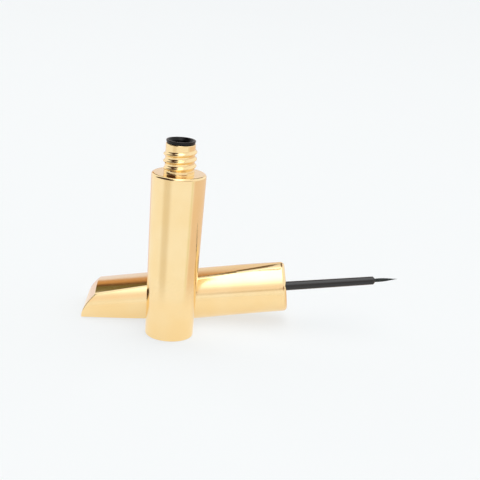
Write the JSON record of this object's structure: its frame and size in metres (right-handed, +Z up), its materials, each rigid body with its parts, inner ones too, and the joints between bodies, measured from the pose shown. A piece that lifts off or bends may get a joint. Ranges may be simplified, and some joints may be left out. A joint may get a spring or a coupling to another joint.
{
  "type": "liquid eyeliner",
  "caption": "Slim round bottle with a threaded neck and wiper, standing beside its unscrewed cap, which is chisel-ended and carries a thin rod with a fine pointed brush.",
  "frame": {"origin": "centre of the bottle's foot, on the surface that it stands on", "axes": "+Z up the bottle, +X along the lying applicator from its cap to its brush, +Y from the bottle to the applicator"},
  "size_m": [0.0973, 0.0358, 0.0592],
  "materials": {
    "gold": "moulded plastic with a vacuum-metallised champagne gold coat, glossy",
    "wiper_black": "soft black moulding, semi-gloss",
    "liner_black": "plain black moulding",
    "rod_black": "glossy black moulding",
    "bristle": "fine dark synthetic filaments, dulled by liquid",
    "plug_amber": "plain amber moulding",
    "label": "bare satin sticker",
    "ball_steel": "polished steel"
  },
  "bodies": {
    "bottle": {"bottle_tube": "gold", "wiper": "wiper_black", "bottom_plug": "plug_amber", "base_label": "label"},
    "applicator": {"cap_shell": "gold", "inner_cap": "liner_black", "wand_rod": "rod_black", "brush_tip": "bristle"},
    "mixing_ball": {"mixing_ball": "ball_steel"}
  },
  "joints": [
    {"name": "applicator_lift", "type": "slide", "parent": "bottle", "child": "applicator", "axis": [0, 0, 1], "range_m": [0, 0.08]},
    {"name": "mixing_ball_travel", "type": "slide", "parent": "bottle", "child": "mixing_ball", "axis": [0, 0, 1], "range_m": [0, 0.045]}
  ]
}
